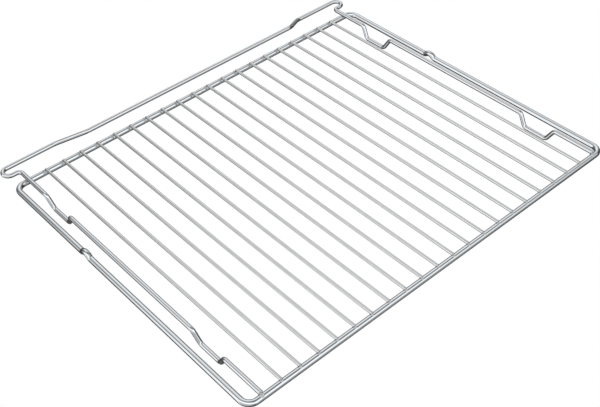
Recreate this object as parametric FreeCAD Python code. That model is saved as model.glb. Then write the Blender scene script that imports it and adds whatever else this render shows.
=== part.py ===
import FreeCAD, Part
import math
import os

# Oven shelf rack of cold-bent steel wire, welded where the wires cross.
# X runs across the rack, Y to the oven's rear wall, Z up; millimetres.
# The origin is under the middle of the rack, on the surface that its feet stand on.

# Wire diameters and welds
frame_wire = 6.0
runner_wire = 4.5
bar_wire = 3.0
weld_sink = 0.5          # how far two wires are pressed into each other where they cross

# Frame: a closed loop with rounded corners and a bump in each side wire
rack_width = 455.0       # over the two side wires
frame_depth = 360.0      # over the front and rear rails
corner_radius = 9.5      # of the wire's centre line
bump_setback = 126.0     # from the rear rail to the middle of the bump
bump_height = 3.1
bump_crest = 4.0         # between the two upper corners of the bump
bump_flank = 4.6         # run of each sloping side along the wire
bump_bend = 5.0          # radius of the bump's four bends

# Runner: bent from one wire, with two feet, a hook and half of the rear stop on each side
side_gap = 14.0          # from a side wire to the runner, between centre lines
runner_end_setback = 1.0  # from the front rail's centre line back to the runner's end
foot_drop = 12.8
foot_run = 26.9          # between the two lower corners of a foot
foot_flank = 7.75        # run of each sloping side along the runner
foot_inset = 1.7         # how far a foot leans in towards the bars
foot_bend = 4.8
front_foot_setback = 67.9  # from the front rail to the middle of the foot
rear_foot_setback = 56.8   # from the rear rail to the middle of the foot
hook_setback = 13.6      # from the rear rail to the leg that goes out to the side
hook_bend = 4.5          # radius of the bend from the runner into that leg
hook_radius = 6.6        # radius of the turn back into the rear stop
stop_low_end = 163.3     # from the middle of the rack to where the stop starts to rise
stop_high_end = 136.4    # from the middle of the rack to where the stop is level again
stop_rise = 12.7
stop_forward = 21.0      # how far the raised part stands nearer to the rear rail
stop_bend = 12.0

# Bars: straight, evenly spaced between the two runners
bar_count = 20
edge_gap = 20.5          # from a runner to the first bar, between centre lines
bar_end_setback = 0.5    # from a rail's centre line back to the bar's end

same_point = 1e-6        # two arcs that meet this closely have no straight run between them

# Places worked out from the sizes above
rail_reach = (frame_depth - frame_wire) / 2
hook_leg = rail_reach + hook_setback
stop_line = hook_leg + 2 * hook_radius
front_edge = -frame_depth / 2
rear_edge = stop_line + runner_wire / 2
depth_middle = (front_edge + rear_edge) / 2
front_rail_y = -rail_reach - depth_middle
rear_rail_y = rail_reach - depth_middle
hook_leg_y = hook_leg - depth_middle
stop_y = stop_line - depth_middle

foot_z = runner_wire / 2
runner_z = foot_z + foot_drop
frame_z = runner_z - (runner_wire + frame_wire) / 2 + weld_sink
bar_z = frame_z + (frame_wire + bar_wire) / 2 - weld_sink

side_x = (rack_width - frame_wire) / 2
runner_x = side_x - side_gap
hook_x = (rack_width - runner_wire) / 2
outer_bar_x = runner_x - edge_gap
bar_pitch = 2 * outer_bar_x / (bar_count - 1)


def bend(before, corner, after, radius):
    """Gives the two ends and the middle of the arc that rounds a corner between two straight runs."""
    back = (before - corner).normalize()
    ahead = (after - corner).normalize()
    half_angle = back.getAngle(ahead) / 2
    tangent = radius / math.tan(half_angle)
    inward = (back + ahead).normalize()
    middle = corner + inward * (radius / math.sin(half_angle) - radius)
    return corner + back * tangent, middle, corner + ahead * tangent


def bent_wire(diameter, points, radii):
    """Sweeps a round section along straight runs, each inner point rounded by a tangent arc."""
    edges = []
    start = points[0]
    for before, corner, after, radius in zip(points, points[1:], points[2:], radii):
        arc_start, arc_middle, arc_end = bend(before, corner, after, radius)
        if not start.isEqual(arc_start, same_point):
            edges.append(Part.LineSegment(start, arc_start).toShape())
        edges.append(Part.Arc(arc_start, arc_middle, arc_end).toShape())
        start = arc_end
    edges.append(Part.LineSegment(start, points[-1]).toShape())
    section = Part.makeCircle(diameter / 2, points[0], points[1] - points[0])
    return Part.Wire(edges).makePipeShell([Part.Wire(section)], True, False)


def both_halves(right_half):
    """Joins a half that starts on the rack's middle plane to its mirror image."""
    left_half = right_half.mirror(FreeCAD.Vector(0, 0, 0), FreeCAD.Vector(1, 0, 0))
    return right_half.fuse(left_half).removeSplitter()


def make_frame():
    """Closed loop: half of the rear rail, a side wire with its bump, half of the front rail, and the mirror image."""
    bump_y = rear_rail_y - bump_setback
    crest = bump_crest / 2
    base = crest + bump_flank
    top_z = frame_z + bump_height
    points = [
        FreeCAD.Vector(0, rear_rail_y, frame_z),
        FreeCAD.Vector(side_x, rear_rail_y, frame_z),
        FreeCAD.Vector(side_x, bump_y + base, frame_z),
        FreeCAD.Vector(side_x, bump_y + crest, top_z),
        FreeCAD.Vector(side_x, bump_y - crest, top_z),
        FreeCAD.Vector(side_x, bump_y - base, frame_z),
        FreeCAD.Vector(side_x, front_rail_y, frame_z),
        FreeCAD.Vector(0, front_rail_y, frame_z),
    ]
    radii = [corner_radius] + [bump_bend] * 4 + [corner_radius]
    return both_halves(bent_wire(frame_wire, points, radii))


def foot_points(middle_y):
    """Four corners of one foot, from the rear to the front."""
    low = foot_run / 2
    high = low + foot_flank
    return [
        FreeCAD.Vector(runner_x, middle_y + high, runner_z),
        FreeCAD.Vector(runner_x - foot_inset, middle_y + low, foot_z),
        FreeCAD.Vector(runner_x - foot_inset, middle_y - low, foot_z),
        FreeCAD.Vector(runner_x, middle_y - high, runner_z),
    ]


def make_runner(frame):
    """Half of the raised stop, its step, the hook, and the runner with its feet; saddled onto the rails."""
    points = [
        FreeCAD.Vector(0, stop_y - stop_forward, runner_z + stop_rise),
        FreeCAD.Vector(stop_high_end, stop_y - stop_forward, runner_z + stop_rise),
        FreeCAD.Vector(stop_low_end, stop_y, runner_z),
        FreeCAD.Vector(hook_x, stop_y, runner_z),
        FreeCAD.Vector(hook_x, hook_leg_y, runner_z),
        FreeCAD.Vector(runner_x, hook_leg_y, runner_z),
    ]
    points += foot_points(rear_rail_y - rear_foot_setback)
    points += foot_points(front_rail_y + front_foot_setback)
    points.append(FreeCAD.Vector(runner_x, front_rail_y + runner_end_setback, runner_z))
    radii = [stop_bend] * 2 + [hook_radius] * 2 + [hook_bend] + [foot_bend] * 8
    return both_halves(bent_wire(runner_wire, points, radii)).cut(frame)


def make_bar(x, frame):
    """One straight bar lying across both rails, with its ends saddled onto them."""
    front_end = FreeCAD.Vector(x, front_rail_y + bar_end_setback, bar_z)
    length = rear_rail_y - front_rail_y - 2 * bar_end_setback
    bar = Part.makeCylinder(bar_wire / 2, length, front_end, FreeCAD.Vector(0, 1, 0))
    return bar.cut(frame)


os.makedirs("parts", exist_ok=True)
frame = make_frame()
frame.exportStep("parts/frame.step")
make_runner(frame).exportStep("parts/runner.step")
for number in range(1, bar_count + 1):
    bar_x = -outer_bar_x + (number - 1) * bar_pitch
    make_bar(bar_x, frame).exportStep(f"parts/bar_{number:02d}.step")
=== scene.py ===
import math

import bpy
import numpy as np
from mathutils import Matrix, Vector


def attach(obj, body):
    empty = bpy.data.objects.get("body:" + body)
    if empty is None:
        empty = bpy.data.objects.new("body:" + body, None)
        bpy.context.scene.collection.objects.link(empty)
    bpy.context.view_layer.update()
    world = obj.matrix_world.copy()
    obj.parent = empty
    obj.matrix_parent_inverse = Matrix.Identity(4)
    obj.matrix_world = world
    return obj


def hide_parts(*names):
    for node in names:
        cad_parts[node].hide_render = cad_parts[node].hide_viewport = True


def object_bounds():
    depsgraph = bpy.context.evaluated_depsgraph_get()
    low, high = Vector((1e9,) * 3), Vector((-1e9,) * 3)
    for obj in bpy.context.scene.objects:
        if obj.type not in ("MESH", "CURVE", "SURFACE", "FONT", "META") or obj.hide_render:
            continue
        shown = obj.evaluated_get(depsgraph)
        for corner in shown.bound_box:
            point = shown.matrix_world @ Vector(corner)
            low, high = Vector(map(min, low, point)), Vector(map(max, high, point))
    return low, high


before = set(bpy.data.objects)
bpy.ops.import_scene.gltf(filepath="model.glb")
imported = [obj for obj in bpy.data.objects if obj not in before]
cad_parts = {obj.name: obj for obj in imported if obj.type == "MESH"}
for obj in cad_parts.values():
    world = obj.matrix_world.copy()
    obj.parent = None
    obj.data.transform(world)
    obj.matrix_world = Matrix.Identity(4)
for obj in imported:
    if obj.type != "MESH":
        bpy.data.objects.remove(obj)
cad_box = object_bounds()

# Frame
# The outer loop is 6 mm low-carbon steel wire, bent cold round pins and butt-welded in the middle of
# the rear rail. The welded rack is polished, then nickel and chrome plated as one piece.
# Left of each bar's weld and of the left runner's weld on the rear rail, a darker matt patch is painted:
# the painted reflection of that bar or runner in the rail.
MM = 0.001
frame_wire = 6.0 * MM
frame_z = 10.3 * MM
side_x = cad_box[1][0] - frame_wire / 2
front_rail_y = cad_box[0][1] + frame_wire / 2
rear_rail_y = front_rail_y + 354.0 * MM
corner_radius = 9.5 * MM
bump_y = rear_rail_y - 126.0 * MM
bump_height = 3.1 * MM
bump_crest_half = 2.0 * MM
bump_base_half = 6.6 * MM
bump_bend = 5.0 * MM
butt_bead_height = 0.22 * MM
butt_bead_reach = 1.1 * MM
bar_count = 20
outer_bar_x = 190.0 * MM
bar_x = np.linspace(-outer_bar_x, outer_bar_x, bar_count)
runner_x = 210.5 * MM
# painted reflection: a darker matt patch on the rear rail just left of each bar and of the left runner
bar_reflection_shift = 2.6 * MM
runner_reflection_shift = 3.1 * MM
painted_reflection_x = np.append(bar_x - bar_reflection_shift, -runner_x - runner_reflection_shift)
painted_reflection_reach = 1.9 * MM
frame_ring_spacing = 1.25 * MM
frame_around = 32


def unit(vectors):
    """Each vector divided by its own length."""
    return vectors / np.linalg.norm(vectors, axis=-1, keepdims=True)


def bent_line(corners, radii, spacing):
    """Centre line of a bent wire, as points and unit tangents. Straight runs join the corners, and each
    inner corner is rounded by the arc of its radius that touches both runs:
    point = centre + radius * (out * cos(turn) + heading * sin(turn))."""
    corners = np.asarray(corners, float)
    arc_steps = 16
    points, tangents = [], []
    start = corners[0]
    for before, corner, after, radius in zip(corners, corners[1:], corners[2:], radii):
        heading = unit(corner - before)
        ahead = unit(after - corner)
        total_turn = math.acos(np.dot(heading, ahead))
        reach = radius * math.tan(total_turn / 2)
        arc_start = corner - heading * reach
        steps = max(1, round(np.linalg.norm(arc_start - start) / spacing))
        points.append(np.linspace(start, arc_start, steps, endpoint=False))
        tangents.append(np.tile(heading, (steps, 1)))
        out = unit(heading * math.cos(total_turn) - ahead)
        turn = np.linspace(0, total_turn, arc_steps, endpoint=False)[:, None]
        centre = arc_start - radius * out
        points.append(centre + radius * (out * np.cos(turn) + heading * np.sin(turn)))
        tangents.append(heading * np.cos(turn) - out * np.sin(turn))
        start = corner + ahead * reach
    steps = max(2, round(np.linalg.norm(corners[-1] - start) / spacing))
    points.append(np.linspace(start, corners[-1], steps))
    tangents.append(np.tile(unit(corners[-1] - corners[-2]), (steps, 1)))
    return np.concatenate(points), np.concatenate(tangents)


def round_wire(line, tangent, radius, around):
    """Surface of a round wire: every point of the line carries a circle of its radius, square to the
    tangent. Angle 0 is the top of the wire, so that the rings never twist against each other:
    surface = line + radius * (over * cos(angle) + side * sin(angle))."""
    side = unit(np.cross(tangent, (0.0, 0.0, 1.0)))
    over = np.cross(side, tangent)
    angle = np.linspace(0, 2 * math.pi, around, endpoint=False)[None, :, None]
    ring = over[:, None] * np.cos(angle) + side[:, None] * np.sin(angle)
    return line[:, None] + radius[:, None, None] * ring


def length_along(line):
    """Distance of each point from the first, measured along the line."""
    return np.concatenate(((0.0,), np.cumsum(np.linalg.norm(np.diff(line, axis=0), axis=1))))


def linear(hex_colour):
    """An sRGB hex colour as linear red, green, blue and an alpha of 1, by the sRGB standard's curve."""
    value = np.array([int(hex_colour[i:i + 2], 16) for i in (1, 3, 5)]) / 255
    toe = value / 12.92
    curve = ((value + 0.055) / 1.055) ** 2.4
    return (*np.where(value <= 0.04045, toe, curve).tolist(), 1.0)


def add_node(tree, kind, settings=None, inputs=None):
    """Adds a node; each input gets a plain value or a link from another node's output."""
    node = tree.nodes.new(kind)
    for name, value in (settings or {}).items():
        setattr(node, name, value)
    for name, value in (inputs or {}).items():
        if isinstance(value, bpy.types.NodeSocket):
            tree.links.new(value, node.inputs[name])
        else:
            node.inputs[name].default_value = value
    return node


def chromed_wire(name, plate_hex, haze_hex, matt_and_shade_hex):
    """Bright chrome plate on drawn steel wire. The eye sees a cool grey mirror, softened by faint drawing
    lines along the wire, a little peel in the plate, and patches of haze that are slightly darker. Where
    the steel under the plate is rough, on sheared ends and welds, the matt attribute turns it unevenly
    matt and gives it the last colour. On the rear rail the same attribute paints shade: darker matt
    patches that are painted reflections of the bars and the runner."""
    draw_line_length = 60.0 * MM
    draw_line_width = 0.45 * MM       # real ones are under 0.1 mm, so they are drawn coarser here
    draw_line_depth = 0.02 * MM
    peel_size = 1.6 * MM
    peel_depth = 0.05 * MM
    bump_strength = 0.06
    haze_size = 35.0 * MM
    noise_low, noise_high = 0.3, 0.7  # nearly all of a noise lies between these two
    least_matt = 0.6
    plate_roughness = 0.05
    haze_roughness = 0.04
    draw_line_roughness = 0.03
    rough_steel_roughness = 0.85
    material = bpy.data.materials.new(name)
    material.use_nodes = True
    tree = material.node_tree
    tree.nodes.clear()
    along_wire = add_node(tree, "ShaderNodeAttribute", {"attribute_name": "along_wire"}).outputs["Vector"]
    stretched = add_node(tree, "ShaderNodeMapping", {"vector_type": "POINT"}, {
        "Vector": along_wire,
        "Scale": (1 / draw_line_length, 1 / draw_line_width, 1 / draw_line_width),
    })
    draw_lines = add_node(tree, "ShaderNodeTexNoise", {}, {
        "Vector": stretched.outputs["Vector"],
        "Scale": 1.0,
        "Detail": 2.0,
    })
    peel = add_node(tree, "ShaderNodeTexNoise", {}, {
        "Vector": along_wire,
        "Scale": 1 / peel_size,
        "Detail": 1.0,
    })
    haze = add_node(tree, "ShaderNodeTexNoise", {}, {
        "Vector": along_wire,
        "Scale": 1 / haze_size,
        "Detail": 2.0,
    })
    haze_amount = add_node(tree, "ShaderNodeMapRange", {}, {
        "Value": haze.outputs["Fac"],
        "From Min": noise_low,
        "From Max": noise_high,
    })
    plate_colour = add_node(tree, "ShaderNodeMix", {"data_type": "RGBA"}, {
        "Factor": haze_amount.outputs["Result"],
        "A": linear(plate_hex),
        "B": linear(haze_hex),
    })
    matt_and_painted_shade = add_node(tree, "ShaderNodeAttribute", {"attribute_name": "matt_and_painted_shade"}).outputs["Fac"]
    uneven = add_node(tree, "ShaderNodeMapRange", {}, {
        "Value": peel.outputs["Fac"],
        "From Min": noise_low,
        "From Max": noise_high,
        "To Min": least_matt,
        "To Max": 1.0,
    })
    matt = add_node(tree, "ShaderNodeMath", {"operation": "MULTIPLY"}, {
        0: matt_and_painted_shade,
        1: uneven.outputs["Result"],
    })
    colour = add_node(tree, "ShaderNodeMix", {"data_type": "RGBA"}, {
        "Factor": matt.outputs["Value"],
        "A": plate_colour.outputs["Result"],
        "B": linear(matt_and_shade_hex),
    })
    hazed = add_node(tree, "ShaderNodeMath", {"operation": "MULTIPLY_ADD"}, {
        0: haze_amount.outputs["Result"],
        1: haze_roughness,
        2: plate_roughness,
    })
    hazed_and_lined = add_node(tree, "ShaderNodeMath", {"operation": "MULTIPLY_ADD"}, {
        0: draw_lines.outputs["Fac"],
        1: draw_line_roughness,
        2: hazed.outputs["Value"],
    })
    roughness = add_node(tree, "ShaderNodeMath", {"operation": "MULTIPLY_ADD"}, {
        0: matt.outputs["Value"],
        1: rough_steel_roughness,
        2: hazed_and_lined.outputs["Value"],
    })
    line_bump = add_node(tree, "ShaderNodeBump", {}, {
        "Height": draw_lines.outputs["Fac"],
        "Strength": bump_strength,
        "Distance": draw_line_depth,
    })
    peel_bump = add_node(tree, "ShaderNodeBump", {}, {
        "Height": peel.outputs["Fac"],
        "Normal": line_bump.outputs["Normal"],
        "Strength": bump_strength,
        "Distance": peel_depth,
    })
    shader = add_node(tree, "ShaderNodeBsdfPrincipled", {}, {
        "Base Color": colour.outputs["Result"],
        "Metallic": 1.0,
        "Roughness": roughness.outputs["Value"],
        "Normal": peel_bump.outputs["Normal"],
    })
    add_node(tree, "ShaderNodeOutputMaterial", {}, {"Surface": shader.outputs["BSDF"]})
    return material


def grid_faces(rings, around, is_loop):
    """Quads between neighbouring rings of a grid, and between the last ring and the first in a loop."""
    ring = np.arange(rings if is_loop else rings - 1)[:, None]
    spot = np.arange(around)[None]
    next_ring, next_spot = (ring + 1) % rings * around, (spot + 1) % around
    corners = (ring * around + spot, ring * around + next_spot, next_ring + next_spot, next_ring + spot)
    return np.stack(corners, axis=-1).reshape(-1, 4).tolist()


def add_piece(name, points, faces, along_wire, matt_and_painted_shade, material):
    """Puts a smooth mesh into the scene, on the rack's one body, with its material and the two attributes
    that the material reads."""
    mesh = bpy.data.meshes.new(name)
    mesh.from_pydata(points.tolist(), [], faces)
    mesh.shade_smooth()
    mesh.attributes.new("along_wire", "FLOAT_VECTOR", "POINT").data.foreach_set("vector", along_wire.ravel())
    mesh.attributes.new("matt_and_painted_shade", "FLOAT", "POINT").data.foreach_set("value", matt_and_painted_shade)
    mesh.materials.append(material)
    piece = bpy.data.objects.new(name, mesh)
    piece.visible_glossy = False      # no wire mirrors another, so that the bands of light run on unbroken
    bpy.context.scene.collection.objects.link(piece)
    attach(piece, "root")
    return piece


def wire_piece(name, surface, distance, ring_painted_shade, is_loop, material):
    """Makes a piece from a wire's grid of rings and closes an open wire by a fan at each end. The
    attribute along_wire gives (distance, radius * cos(angle), radius * sin(angle)) for the patterns. The
    matt attribute is each ring's painted shade, and 1 on a cut end: its outermost two rings and the pole."""
    rings, around = surface.shape[:2]
    faces = grid_faces(rings, around, is_loop)
    points = surface.reshape(-1, 3)
    centre = surface.mean(axis=1)
    radius = np.linalg.norm(surface[:, 0] - centre, axis=1)[:, None]
    angle = np.linspace(0, 2 * math.pi, around, endpoint=False)[None]
    along = distance[:, None] + 0 * angle
    along_wire = np.stack((along, radius * np.cos(angle), radius * np.sin(angle)), axis=-1).reshape(-1, 3)
    matt_and_painted_shade = np.repeat(ring_painted_shade, around)
    if not is_loop:
        first, last = np.arange(around), (rings - 1) * around + np.arange(around)
        start_pole, end_pole = np.full(around, len(points)), np.full(around, len(points) + 1)
        faces += np.stack((np.roll(first, -1), first, start_pole), axis=1).tolist()
        faces += np.stack((last, np.roll(last, -1), end_pole), axis=1).tolist()
        points = np.concatenate((points, centre[[0, -1]]))
        along_wire = np.concatenate((along_wire, distance[[0, -1], None] * (1.0, 0.0, 0.0)))
        matt_and_painted_shade[:2 * around] = matt_and_painted_shade[-2 * around:] = 1
        matt_and_painted_shade = np.append(matt_and_painted_shade, (1, 1))
    return add_piece(name, points, faces, along_wire, matt_and_painted_shade, material)


frame_corners = [
    (0, rear_rail_y, frame_z),
    (side_x, rear_rail_y, frame_z),
    (side_x, bump_y + bump_base_half, frame_z),
    (side_x, bump_y + bump_crest_half, frame_z + bump_height),
    (side_x, bump_y - bump_crest_half, frame_z + bump_height),
    (side_x, bump_y - bump_base_half, frame_z),
    (side_x, front_rail_y, frame_z),
    (0, front_rail_y, frame_z),
]
frame_radii = [corner_radius, bump_bend, bump_bend, bump_bend, bump_bend, corner_radius]
mirror = np.array((-1.0, 1.0, 1.0))
right_line, right_tangent = bent_line(frame_corners, frame_radii, frame_ring_spacing)
frame_line = np.concatenate((right_line, (right_line * mirror)[-2:0:-1]))
frame_tangent = np.concatenate((right_tangent, -(right_tangent * mirror)[-2:0:-1]))
frame_length = length_along(frame_line)
loop_length = frame_length[-1] + frame_ring_spacing
from_butt = np.minimum(frame_length, loop_length - frame_length)
frame_radius = frame_wire / 2 + butt_bead_height * np.exp(-(from_butt / butt_bead_reach) ** 2)
# the painted reflection fades with distance from its spot, a darker matt patch on the rear rail
painted_reflection_spots = np.stack(np.broadcast_arrays(painted_reflection_x, rear_rail_y, frame_z), axis=-1)
from_painted_reflection = np.linalg.norm(frame_line[:, None] - painted_reflection_spots, axis=-1).min(axis=1)
frame_painted_reflection = np.exp(-(from_painted_reflection / painted_reflection_reach) ** 2)
# the last colour here is only the painted reflection's darker grey; the loop has no cut ends
frame_chrome = chromed_wire("chrome_plated_steel_wire_6mm", "#D0D4D7", "#C9CDD0", "#B2B7BA")
frame_surface = round_wire(frame_line, frame_tangent, frame_radius, frame_around)
frame_loop = wire_piece("frame_loop", frame_surface, frame_length, frame_painted_reflection, True, frame_chrome)
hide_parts("frame")

# Runner
# One 4.5 mm wire bent on a wire former: each side has two feet, an S-hook and half of the raised rear
# stop. It lies on the two rails, welded to them, and its cut front ends keep a soft plated edge.
runner_wire = 4.5 * MM
weld_sink = 0.5 * MM
runner_z = frame_z + (frame_wire + runner_wire) / 2 - weld_sink
runner_front_end = front_rail_y + 1.0 * MM
foot_z = runner_wire / 2
foot_low_half = 13.45 * MM
foot_high_half = 21.2 * MM
foot_inset = 1.7 * MM
foot_bend = 4.8 * MM
front_foot_y = front_rail_y + 67.9 * MM
rear_foot_y = rear_rail_y - 56.8 * MM
hook_x = 225.25 * MM
hook_leg_y = rear_rail_y + 13.6 * MM
hook_bend = 4.5 * MM
hook_radius = 6.6 * MM
stop_y = hook_leg_y + 2 * hook_radius
stop_low_x = 163.3 * MM
stop_high_x = 136.4 * MM
stop_rise = 12.7 * MM
stop_forward = 21.0 * MM
stop_bend = 12.0 * MM
runner_ring_spacing = 2.0 * MM
runner_around = 28
runner_end_round = 0.35 * MM


def cut_ends(line, tangent, wire_radius, edge, both):
    """Adds the rounded edge of a cut wire end, or of both ends, to its line. Over a quarter turn the rings
    move to the end by edge * sin(turn) and shrink by edge * (1 - cos(turn)); a last ring halves the flat."""
    edge_rings = 8
    turn = np.append(np.linspace(0, math.pi / 2, edge_rings), math.pi / 2)
    shrink = edge * (1 - np.cos(turn))
    shrink[-1] = (wire_radius + edge) / 2
    step = edge * (np.sin(turn) - 1)[:, None]
    radius = np.full(len(line) - 1, wire_radius)
    line_parts = [line[:-1], line[-1] + tangent[-1] * step]
    tangent_parts = [tangent[:-1], np.tile(tangent[-1], (len(turn), 1))]
    radius_parts = [radius, wire_radius - shrink]
    if both:
        line_parts[0], tangent_parts[0], radius_parts[0] = line[1:-1], tangent[1:-1], radius[1:]
        line_parts.insert(0, (line[0] - tangent[0] * step)[::-1])
        tangent_parts.insert(0, np.tile(tangent[0], (len(turn), 1)))
        radius_parts.insert(0, (wire_radius - shrink)[::-1])
    return [np.concatenate(parts) for parts in (line_parts, tangent_parts, radius_parts)]


def foot_corners(middle_y):
    """The four corners of a foot, from the rear to the front."""
    return [
        (runner_x, middle_y + foot_high_half, runner_z),
        (runner_x - foot_inset, middle_y + foot_low_half, foot_z),
        (runner_x - foot_inset, middle_y - foot_low_half, foot_z),
        (runner_x, middle_y - foot_high_half, runner_z),
    ]


runner_corners = [
    (0, stop_y - stop_forward, runner_z + stop_rise),
    (stop_high_x, stop_y - stop_forward, runner_z + stop_rise),
    (stop_low_x, stop_y, runner_z),
    (hook_x, stop_y, runner_z),
    (hook_x, hook_leg_y, runner_z),
    (runner_x, hook_leg_y, runner_z),
    *foot_corners(rear_foot_y),
    *foot_corners(front_foot_y),
    (runner_x, runner_front_end, runner_z),
]
runner_radii = [stop_bend] * 2 + [hook_radius] * 2 + [hook_bend] + [foot_bend] * 8
half_line, half_tangent = bent_line(runner_corners, runner_radii, runner_ring_spacing)
half_line, half_tangent, half_radius = cut_ends(
    half_line, half_tangent, runner_wire / 2, runner_end_round, False)
runner_line = np.concatenate(((half_line * mirror)[:0:-1], half_line))
runner_tangent = np.concatenate((-(half_tangent * mirror)[:0:-1], half_tangent))
runner_radius = np.concatenate((half_radius[:0:-1], half_radius))
runner_surface = round_wire(runner_line, runner_tangent, runner_radius, runner_around)
runner_chrome = chromed_wire("chrome_plated_steel_wire_4.5mm", "#D0D3D6", "#C9CCCF", "#F2F4F5")
runner_length = length_along(runner_line)
runner_painted_shade = np.zeros(len(runner_line))
runner_bend = wire_piece("runner_bend", runner_surface, runner_length, runner_painted_shade, False, runner_chrome)
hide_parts("runner")

# Bars
# Twenty straight 3 mm wires, cut to length and resistance-welded onto both rails in one press stroke,
# so that each sinks half a millimetre into the rail and stops at its crown.
bar_wire = 3.0 * MM
bar_z = frame_z + (frame_wire + bar_wire) / 2 - weld_sink
bar_end_setback = 0.5 * MM
bar_end_round = 0.35 * MM
bar_ring_spacing = 4.0 * MM
bar_around = 24
bar_chrome = chromed_wire("chrome_plated_steel_wire_3mm", "#D3D4D5", "#CBCCCD", "#F2F4F5")
bar_front, bar_rear = front_rail_y + bar_end_setback, rear_rail_y - bar_end_setback
bar_steps = round((bar_rear - bar_front) / bar_ring_spacing)
for number, x in enumerate(bar_x, start=1):
    bar_line = np.linspace((x, bar_front, bar_z), (x, bar_rear, bar_z), bar_steps)
    bar_tangent = np.tile((0.0, 1.0, 0.0), (bar_steps, 1))
    bar_line, bar_tangent, bar_radius = cut_ends(bar_line, bar_tangent, bar_wire / 2, bar_end_round, True)
    bar_surface = round_wire(bar_line, bar_tangent, bar_radius, bar_around)
    bar_length = length_along(bar_line) + number      # each bar has its own place in the patterns
    bar_painted_shade = np.zeros(len(bar_line))
    cross_bar = wire_piece(f"cross_bar_{number:02d}", bar_surface, bar_length, bar_painted_shade, False, bar_chrome)
    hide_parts(f"bar_{number:02d}")

# Welds
# Where a bar or the runner is pressed into a rail, a little steel is squeezed out before its end. It is
# plated over but stays matt. In the crevice behind it a dark spot of painted shade is set; that shows at
# the bars' front joints and at the runner's four.
bead_z = frame_z + 1.9 * MM
bar_bead_half = np.array((2.4, 1.75, 1.35)) * MM
runner_bead_half = np.array((3.2, 2.2, 1.4)) * MM
# sizes of the dark spots of painted shade in the crevices beside the welds
bar_crevice_z = frame_z + 2.65 * MM
bar_crevice_inset = 0.9 * MM
bar_crevice_half = np.array((2.5, 0.8, 0.45)) * MM
runner_crevice_z = frame_z + 2.1 * MM
runner_crevice_inset = 1.75 * MM
runner_crevice_half = np.array((2.9, 0.8, 0.8)) * MM
weld_rings, weld_around = 10, 16


def weld_beads(name, centres, half_sizes, material):
    """Makes a piece of one ellipsoid a weld, all in one array, with closed poles:
    point = centre + half_size * (cos(up) * cos(turn), cos(up) * sin(turn), sin(up))."""
    up = np.linspace(-math.pi / 2, math.pi / 2, weld_rings + 2)[1:-1, None]
    turn = np.linspace(0, 2 * math.pi, weld_around, endpoint=False)[None]
    ball = np.stack((np.cos(up) * np.cos(turn), np.cos(up) * np.sin(turn), np.sin(up) + 0 * turn), axis=-1)
    ball = np.concatenate((ball.reshape(-1, 3), ((0, 0, -1), (0, 0, 1))))
    lowest, highest = np.arange(weld_around), (weld_rings - 1) * weld_around + np.arange(weld_around)
    low_pole, high_pole = np.full(weld_around, len(ball) - 2), np.full(weld_around, len(ball) - 1)
    quads = np.array(grid_faces(weld_rings, weld_around, False))
    fans = np.concatenate((
        np.stack((np.roll(lowest, -1), lowest, low_pole), axis=1),
        np.stack((highest, np.roll(highest, -1), high_pole), axis=1),
    ))
    number = np.arange(len(centres))[:, None, None]
    first_point = number * len(ball)
    faces = (quads + first_point).reshape(-1, 4).tolist() + (fans + first_point).reshape(-1, 3).tolist()
    from_centre = half_sizes[:, None] * ball
    points = (centres[:, None] + from_centre).reshape(-1, 3)
    along_wire = from_centre + number     # each weld has its own place in the patterns
    matt_and_painted_shade = np.ones(len(points))
    return add_piece(name, points, faces, along_wire, matt_and_painted_shade, material)


bead_chrome = chromed_wire("matt_chrome_on_weld_steel", "#D0D4D7", "#C9CDD0", "#D8DCDE")
# painted shade: all three colours are dark, for the shade in the crevices beside the welds
painted_crevice_shade = chromed_wire("painted_shade_in_weld_crevice", "#6A6E71", "#5E6264", "#54585B")
rail_y = (front_rail_y, rear_rail_y)
runner_sides = (-runner_x, runner_x)
bar_bead_centres = np.array([(x, y, bead_z) for y in rail_y for x in bar_x])
bar_bead_halves = np.tile(bar_bead_half, (len(bar_bead_centres), 1))
bar_welds = weld_beads("bar_welds", bar_bead_centres, bar_bead_halves, bead_chrome)
runner_bead_centres = np.array([(x, y, bead_z) for y in rail_y for x in runner_sides])
runner_bead_halves = np.tile(runner_bead_half, (len(runner_bead_centres), 1))
runner_welds = weld_beads("runner_welds", runner_bead_centres, runner_bead_halves, bead_chrome)
bar_crevice_y = front_rail_y + bar_crevice_inset
runner_crevice_y = (front_rail_y + runner_crevice_inset, rear_rail_y - runner_crevice_inset)
bar_crevices = [(x, bar_crevice_y, bar_crevice_z) for x in bar_x]
runner_crevices = [(x, y, runner_crevice_z) for y in runner_crevice_y for x in runner_sides]
crevice_centres = np.array(bar_crevices + runner_crevices)
crevice_halves = np.concatenate((
    np.tile(bar_crevice_half, (len(bar_crevices), 1)),
    np.tile(runner_crevice_half, (len(runner_crevices), 1)),
))
# one piece of dark spots that paint the shade in the weld crevices
painted_weld_crevice_shade = weld_beads("painted_weld_crevice_shade", crevice_centres, crevice_halves, painted_crevice_shade)

# Floor, light and camera
# The rack stands on a white light table that runs up into a round cove, the pale ground of a cut-out
# product picture. Soft boxes in a dark room give the wires their bands of light and shade.
scene = bpy.context.scene
scene.view_settings.view_transform = "Standard"
table_radius = 2.5
table_middle = 0.05
cove_radius = 1.0
cove_height = 3.5
cove_around = 64
cove_steps = 13
cove_turn = np.linspace(0, math.pi / 2, cove_steps)
cove_bend = table_radius + cove_radius * np.sin(cove_turn)
cove_reach = np.concatenate(((table_middle,), cove_bend, (table_radius + cove_radius,)))
cove_rise = np.concatenate(((0.0,), cove_radius * (1 - np.cos(cove_turn)), (cove_height,)))
cove_angle = np.linspace(0, 2 * math.pi, cove_around, endpoint=False)
cove_points = np.stack((
    cove_reach[:, None] * np.cos(cove_angle),
    cove_reach[:, None] * np.sin(cove_angle),
    cove_rise[:, None] + 0 * cove_angle,
), axis=-1)
cove_faces = grid_faces(len(cove_reach), cove_around, False) + [list(range(cove_around))[::-1]]
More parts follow.
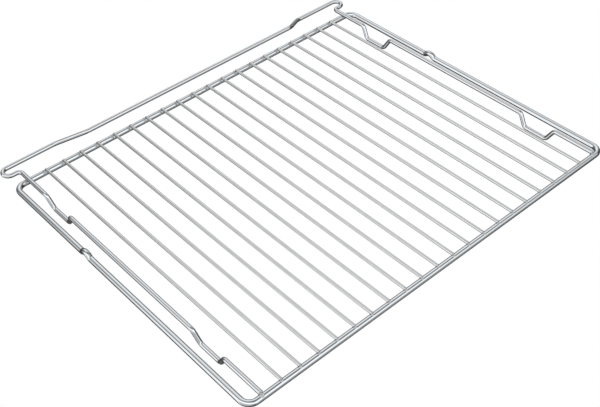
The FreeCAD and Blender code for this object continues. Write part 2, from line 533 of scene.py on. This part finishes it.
cove_mesh = bpy.data.meshes.new("light_table")
cove_mesh.from_pydata(cove_points.reshape(-1, 3).tolist(), [], cove_faces)
cove_mesh.shade_smooth()
cove_material = bpy.data.materials.new("opal_acrylic_lit_from_below")
cove_material.use_nodes = True
cove_tree = cove_material.node_tree
cove_tree.nodes.clear()
cove_shader = add_node(cove_tree, "ShaderNodeBsdfPrincipled", {}, {
    "Base Color": linear("#000000"),
    "Roughness": 0.9,
    "Specular IOR Level": 0.0,
    "Emission Color": linear("#FFFFFF"),
    "Emission Strength": 1.0,
})
add_node(cove_tree, "ShaderNodeOutputMaterial", {}, {"Surface": cove_shader.outputs["BSDF"]})
cove_mesh.materials.append(cove_material)
cove = bpy.data.objects.new("light_table", cove_mesh)
cove.visible_glossy = False       # the wires mirror the soft boxes and not the table
cove.visible_shadow = False       # the cove doesn't stand in the way of the soft boxes
scene.collection.objects.link(cove)


def soft_box(tree, ray, azimuth, elevation, half_width, half_height, edge_x, edge_y, tilt, brightness):
    """Light of a far soft box for a ray: brightness times a window across the box times a window up it.
    A window falls smoothly from 1 to 0 between half - edge and half + edge; angles are in degrees, and
    azimuth runs from the right side over the rear."""
    turn, rise, roll = (math.radians(angle) for angle in (azimuth, elevation, tilt))
    facing = np.array((math.cos(rise) * math.cos(turn), math.cos(rise) * math.sin(turn), math.sin(rise)))
    level = np.array((-math.sin(turn), math.cos(turn), 0.0))
    upright = np.cross(facing, level)
    across = level * math.cos(roll) + upright * math.sin(roll)
    up = upright * math.cos(roll) - level * math.sin(roll)
    ahead = add_node(tree, "ShaderNodeVectorMath", {"operation": "DOT_PRODUCT"}, {0: ray, 1: facing})
    light = brightness
    for axis, half, edge in ((across, half_width, edge_x), (up, half_height, edge_y)):
        aside = add_node(tree, "ShaderNodeVectorMath", {"operation": "DOT_PRODUCT"}, {0: ray, 1: axis})
        size = add_node(tree, "ShaderNodeMath", {"operation": "ABSOLUTE"}, {0: aside.outputs["Value"]})
        angle = add_node(tree, "ShaderNodeMath", {"operation": "ARCTAN2"}, {
            0: size.outputs["Value"],
            1: ahead.outputs["Value"],
        })
        window = add_node(tree, "ShaderNodeMapRange", {"interpolation_type": "SMOOTHSTEP"}, {
            "Value": angle.outputs["Value"],
            "From Min": math.radians(half - edge),
            "From Max": math.radians(half + edge),
            "To Min": 1.0,
            "To Max": 0.0,
        })
        light = add_node(tree, "ShaderNodeMath", {"operation": "MULTIPLY"}, {
            0: light,
            1: window.outputs["Result"],
        }).outputs["Value"]
    return light


world = bpy.data.worlds.new("dark_room_with_soft_boxes")
world.use_nodes = True
sky = world.node_tree
sky.nodes.clear()
ray = add_node(sky, "ShaderNodeTexCoord").outputs["Generated"]
soft_boxes = (
    # broad and soft, high behind the rear right corner
    soft_box(sky, ray, azimuth=49, elevation=37, half_width=31, half_height=10,
             edge_x=44, edge_y=21, tilt=-29, brightness=2.0),
    # wide and low, all along the left side
    soft_box(sky, ray, azimuth=190, elevation=-11, half_width=69, half_height=21,
             edge_x=38, edge_y=7, tilt=-5, brightness=0.65),
    # upright, high before the front right corner
    soft_box(sky, ray, azimuth=304, elevation=38, half_width=16, half_height=22,
             edge_x=9, edge_y=19, tilt=14, brightness=1.5),
    # dim fill from below the front rail
    soft_box(sky, ray, azimuth=290, elevation=-16, half_width=23, half_height=30,
             edge_x=3, edge_y=3, tilt=-5, brightness=0.3),
    # slanting, high over the rear rail
    soft_box(sky, ray, azimuth=86, elevation=55, half_width=21, half_height=16,
             edge_x=30, edge_y=14, tilt=-63, brightness=1.0),
    # large main light, high over the camera and the left side
    soft_box(sky, ray, azimuth=217, elevation=44, half_width=70, half_height=26,
             edge_x=19, edge_y=19, tilt=-7, brightness=1.55),
    # narrow strip on the right side
    soft_box(sky, ray, azimuth=19, elevation=9, half_width=6, half_height=16,
             edge_x=18, edge_y=3, tilt=3, brightness=0.75),
    # nearly upright strip, low behind the rear left corner
    soft_box(sky, ray, azimuth=156, elevation=-17, half_width=28, half_height=9,
             edge_x=46, edge_y=3, tilt=-66, brightness=1.15),
    # small, low behind the rear right corner
    soft_box(sky, ray, azimuth=40, elevation=-16, half_width=11, half_height=7,
             edge_x=6, edge_y=12, tilt=19, brightness=0.85),
    # faint strip straight below, from front to rear
    soft_box(sky, ray, azimuth=281, elevation=-88, half_width=3, half_height=65,
             edge_x=3, edge_y=15, tilt=2, brightness=0.1),
)
room_brightness = 0.08
light = room_brightness
for box in soft_boxes:
    light = add_node(sky, "ShaderNodeMath", {"operation": "ADD"}, {0: light, 1: box}).outputs["Value"]
background = add_node(sky, "ShaderNodeBackground", {}, {"Color": linear("#FFFFFF"), "Strength": light})
add_node(sky, "ShaderNodeOutputWorld", {}, {"Surface": background.outputs["Background"]})
scene.world = world

camera_place = (-0.49366, -0.58522, 0.65359)
camera_turn = (47.6517, 1.9309, -41.6756)         # degrees
camera = bpy.data.objects.new("camera", bpy.data.cameras.new("camera"))
camera.data.sensor_width = 36.0
camera.data.lens = 61.079
camera.data.clip_start = 0.01
camera.location = camera_place
camera.rotation_euler = [math.radians(angle) for angle in camera_turn]
scene.collection.objects.link(camera)
scene.camera = camera
